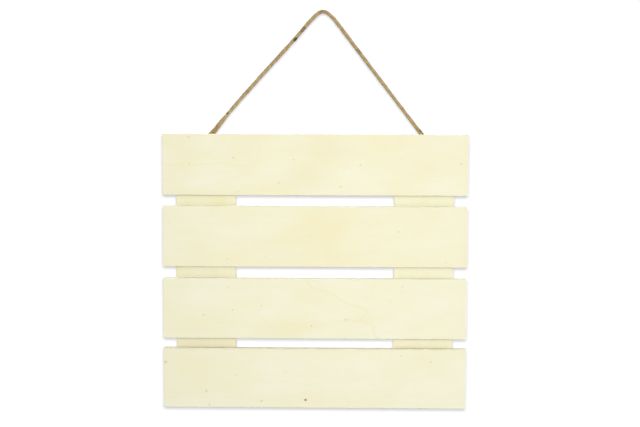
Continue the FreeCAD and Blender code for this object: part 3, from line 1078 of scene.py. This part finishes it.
def backdrop_paper(glow, middle):
    """Grey paper that its own strong lamp and its own shine bring up to white.

    The shine grows with the square of the way from the middle, where the lamp gives most. Seen from behind,
    the paper lets the view through.
    """
    grey = (0.10, 0.10, 0.101)
    white = (1.0, 1.0, 1.012)
    growth = 1.6  # per square metre
    material, tree, shader = start_material("backdrop_paper")
    away = vectors(tree, "SUBTRACT", own_place(tree), middle)
    away = vectors(tree, "MULTIPLY", away, (1.0, 0.0, 1.0))
    evened = maths(tree, "MULTIPLY_ADD", measure(tree, "DOT_PRODUCT", away, away), growth, 1.0)
    shine = put(tree, "ShaderNodeVectorMath", {0: white, "Scale": evened}, operation="SCALE")
    surface = {
        "Base Color": grey,
        "Roughness": 1.0,
        "Specular IOR Level": 0.0,
        "Emission Color": shine.outputs["Vector"],
        "Emission Strength": glow,
    }
    feed_all(tree, shader, surface)
    clear = put(tree, "ShaderNodeBsdfTransparent")
    behind = put(tree, "ShaderNodeNewGeometry").outputs["Backfacing"]
    both = put(tree, "ShaderNodeMixShader", {0: behind, 1: shader.outputs[0], 2: clear.outputs[0]})
    tree.links.new(both.outputs[0], tree.nodes["Material Output"].inputs["Surface"])
    return material


def lamp(name, place, size, aim, watts):
    """Soft lamp of a width and a height that looks at a point."""
    light = bpy.data.lights.new(name, "AREA")
    light.shape = "RECTANGLE"
    light.size, light.size_y = size
    light.energy = watts
    made = add_object(name, light)
    made.location = place
    made.rotation_mode = "QUATERNION"
    made.rotation_quaternion = (Vector(aim) - Vector(place)).to_track_quat("-Z", "Y")
    made.visible_camera = False
    return made


def flag(light, pieces, state):
    """Keeps a lamp's light off some pieces, or on them alone, as a flag on a stand would."""
    marked = bpy.data.collections.new("flag_of_" + light.name)
    for piece in pieces:
        marked.objects.link(piece)
    for entry in marked.collection_objects:
        entry.light_linking.link_state = state
    light.light_linking.receiver_collection = marked


def even_sky(strength):
    """World of even white light, which the camera sees as plain white."""
    world = bpy.data.worlds.new("even_sky")
    world.use_nodes = True
    tree = world.node_tree
    light = tree.nodes["Background"]
    light.inputs["Color"].default_value = (1.0, 1.0, 1.0, 1.0)
    light.inputs["Strength"].default_value = strength
    seen = put(tree, "ShaderNodeBackground", {"Color": (1.0, 1.0, 1.0, 1.0), "Strength": 1.0})
    by_camera = put(tree, "ShaderNodeLightPath").outputs["Is Camera Ray"]
    both = put(tree, "ShaderNodeMixShader", {0: by_camera, 1: light.outputs[0], 2: seen.outputs[0]})
    tree.links.new(both.outputs[0], tree.nodes["World Output"].inputs["Surface"])
    bpy.context.scene.world = world


def set_camera(settings):
    """Camera at the photograph's viewpoint."""
    data = bpy.data.cameras.new("camera")
    data.sensor_width = 36.0
    data.lens = settings.lens
    camera = add_object("camera", data)
    camera.location = settings.camera_place
    camera.rotation_euler = settings.camera_turn
    bpy.context.scene.camera = camera


class PLAQUE_OT_hang_twine(bpy.types.Operator):
    """Lays the two plies of the twine, with their loose fibres and flecks of bark"""

    bl_idname = "plaque.hang_twine"
    bl_label = "Hang the twine"

    def execute(self, context):
        settings = context.scene.plaque_twine
        rng = np.random.default_rng(TWINE_SEED)
        make_stretch()
        twine = Twine(settings, rng)
        plies = ply_mesh(twine, jute(settings))
        fibres = fibre_mesh(twine, settings.fibres, loose_jute(settings), rng)
        flecks = bark_mesh(twine, bark(settings))
        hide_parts("hanging_cord")
        return {"FINISHED"}


class PLAQUE_OT_finish_boards(bpy.types.Operator):
    """Gives every slat and batten its own piece of wood"""

    bl_idname = "plaque.finish_boards"
    bl_label = "Finish the boards"

    def execute(self, context):
        settings = context.scene.plaque_boards
        make_soft_spot()
        make_figure_stroke()
        make_sawn_grain()
        make_wood_tint()
        # The slats' eased edges get a paler colour, partly sanded and partly painted light; the battens' get
        # the darker edge colour
        slat_tones = (settings.pale, settings.straw, settings.eased_arris)
        batten_tones = (settings.batten_pale, settings.batten_straw, settings.sawn_edge_and_shade)
        for node in SLATS:
            dress(node, board_wood(node, settings, *slat_tones, False))
        for node in BATTENS:
            dress(node, board_wood(node, settings, *batten_tones, True))
        return {"FINISHED"}


class PLAQUE_OT_finish_staples(bpy.types.Operator):
    """Gives the staples their galvanised finish"""

    bl_idname = "plaque.finish_staples"
    bl_label = "Finish the staples"

    def execute(self, context):
        wire = galvanised(context.scene.plaque_staples)
        for node in STAPLES:
            dress(node, wire)
        return {"FINISHED"}


class PLAQUE_OT_set_stage(bpy.types.Operator):
    """Sets up the backdrop, the soft light and the camera"""

    bl_idname = "plaque.set_stage"
    bl_label = "Set the stage"

    def execute(self, context):
        settings = context.scene.plaque_stage
        low, high = CAD_BOX
        middle = (low + high) / 2
        key = Vector(settings.camera_place) + Vector((0.0, 0.0, KEY_RISE))
        paper = backdrop_paper(settings.glow, key)
        sheet = sweep_mesh(settings.wall_gap, low.z - settings.floor_drop, paper)
        for rays in ("diffuse", "glossy", "transmission", "shadow"):
            setattr(sheet, "visible_" + rays, False)
        lamp("key_lamp", key, KEY_SIZE, middle, settings.key_power)
        flag(lamp("paper_lamp", key, KEY_SIZE, middle, settings.paper_power), [sheet], "INCLUDE")
        flag(lamp("side_lamp", *SIDE_LAMP, middle, settings.side_power), [sheet], "EXCLUDE")
        flag(lamp("fill_lamp", *FILL_LAMP, middle, settings.fill_power), [sheet], "EXCLUDE")
        lamp("back_lamp", *BACK_LAMP, middle, settings.back_power)
        spared = [sheet] + [bpy.data.objects[name] for name in TWINE_PIECES]
        for side, way in (("left", -1.0), ("right", 1.0)):
            place = (way * END_OUT, END_BEHIND, middle.z + END_RISE)
            ends = lamp("end_lamp_" + side, place, END_SIZE, middle, settings.end_power)
            flag(ends, spared, "EXCLUDE")
        even_sky(settings.sky)
        set_camera(settings)
        context.scene.view_settings.view_transform = "Standard"
        return {"FINISHED"}


class PLAQUE_PT_panel(bpy.types.Panel):
    """Sizes, colours and steps of the plaque"""

    bl_idname = "PLAQUE_PT_panel"
    bl_label = "Wooden door plaque"
    bl_space_type = "VIEW_3D"
    bl_region_type = "UI"
    bl_category = "Plaque"

    def draw(self, context):
        for name, group in SETTINGS.items():
            box = self.layout.box()
            for prop in group.__annotations__:
                box.prop(getattr(context.scene, name), prop)
        for step in STEPS:
            self.layout.operator(step.bl_idname)


SETTINGS = {
    "plaque_twine": PlaqueTwineSettings,
    "plaque_boards": PlaqueBoardSettings,
    "plaque_staples": PlaqueStapleSettings,
    "plaque_stage": PlaqueStageSettings,
}
STEPS = (PLAQUE_OT_hang_twine, PLAQUE_OT_finish_boards, PLAQUE_OT_finish_staples, PLAQUE_OT_set_stage)
CLASSES = (*SETTINGS.values(), *STEPS, PLAQUE_PT_panel)


def register():
    """Registers the classes and hangs the settings on the scene."""
    for made in CLASSES:
        bpy.utils.register_class(made)
    for name, group in SETTINGS.items():
        setattr(bpy.types.Scene, name, PointerProperty(type=group))


def unregister():
    """Takes the settings and the classes away again."""
    for name in SETTINGS:
        delattr(bpy.types.Scene, name)
    for made in reversed(CLASSES):
        bpy.utils.unregister_class(made)


def main():
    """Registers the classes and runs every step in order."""
    register()
    bpy.ops.plaque.hang_twine()
    bpy.ops.plaque.finish_boards()
    bpy.ops.plaque.finish_staples()
    bpy.ops.plaque.set_stage()


if __name__ == "__main__":
    main()
